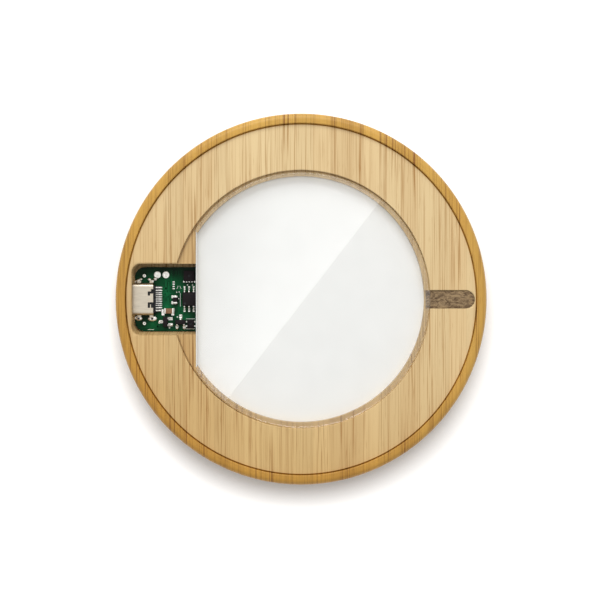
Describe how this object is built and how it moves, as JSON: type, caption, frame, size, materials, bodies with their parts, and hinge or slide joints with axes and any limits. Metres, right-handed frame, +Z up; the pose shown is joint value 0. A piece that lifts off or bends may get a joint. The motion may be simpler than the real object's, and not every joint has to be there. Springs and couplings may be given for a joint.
{
  "type": "air quality monitor",
  "caption": "Round bamboo desk monitor with a white lit window, an open pocket for its USB-C socket, a porous air strip, and a particle sensor with a small fan inside.",
  "frame": {"origin": "centre of the flat base", "axes": "+Z up through the window; the USB socket's mouth points to -X and the porous strip lies towards +X"},
  "size_m": [0.102, 0.102, 0.0272],
  "materials": {
    "bamboo": "satin lacquer",
    "clear_acrylic": "polished",
    "white_sheet": "matte",
    "green_solder_mask": "semi-gloss",
    "plated_steel": "satin",
    "tinned_copper": "bright tin",
    "black_plastic": "moulded",
    "brown_ceramic": "fired",
    "white_lamp_plastic": "moulded",
    "brass": "turned",
    "sintered_bronze": "porous",
    "ferrite": "sintered",
    "copper_winding": "enamelled",
    "grey_foam": "foam",
    "taupe_felt": "felted"
  },
  "bodies": {
    "housing": {"bamboo_body": "bamboo", "board_screw_1": "plated_steel", "board_screw_2": "plated_steel", "board_screw_3": "plated_steel", "board_screw_4": "plated_steel", "climate_sensor": "plated_steel", "controller_board": "green_solder_mask", "controller_shield": "plated_steel", "fan_bearing": "sintered_bronze", "fan_stator": "copper_winding", "gas_sensor": "plated_steel", "input_capacitor": "brown_ceramic", "laser_barrel": "brass", "laser_holder": "ferrite", "light_detector": "black_plastic", "main_board": "green_solder_mask", "protector_chip": "black_plastic", "pull_resistor": "tinned_copper", "regulator_chip": "black_plastic", "reset_switch": "black_plastic", "sensor_board": "green_solder_mask", "sensor_case": "black_plastic", "sensor_header": "black_plastic", "sensor_lid": "plated_steel", "sensor_pad": "grey_foam", "sensor_screw_1": "plated_steel", "sensor_screw_2": "plated_steel", "sensor_screw_3": "plated_steel", "sensor_screw_4": "plated_steel", "sensor_socket": "black_plastic", "serial_chip": "black_plastic", "status_light_1": "white_lamp_plastic", "status_light_2": "white_lamp_plastic", "status_light_3": "white_lamp_plastic", "status_light_4": "white_lamp_plastic", "status_light_5": "white_lamp_plastic", "status_light_6": "white_lamp_plastic", "usb_contacts": "tinned_copper", "usb_shell": "plated_steel", "usb_tongue": "black_plastic", "slot_filter": "taupe_felt"},
    "window": {"clear_window": "clear_acrylic", "light_diffuser": "white_sheet"},
    "fan": {"fan_rotor": "black_plastic", "fan_shaft": "plated_steel", "fan_magnet": "ferrite"},
    "button": {"reset_button": "white_lamp_plastic"}
  },
  "joints": [
    {"name": "window_lift", "type": "slide", "parent": "housing", "child": "window", "axis": [0, 0, 1], "range_m": [0, 0.015]},
    {"name": "fan_spin", "type": "hinge", "parent": "housing", "child": "fan", "pos_m": [0.0075, 0, 0.0075], "axis": [0, 0, 1], "continuous": true},
    {"name": "reset_press", "type": "slide", "parent": "housing", "child": "button", "axis": [0, 0, -1], "range_m": [0, 0.00025], "stiffness_N_per_m": 1000, "springref_m": -0.001}
  ]
}
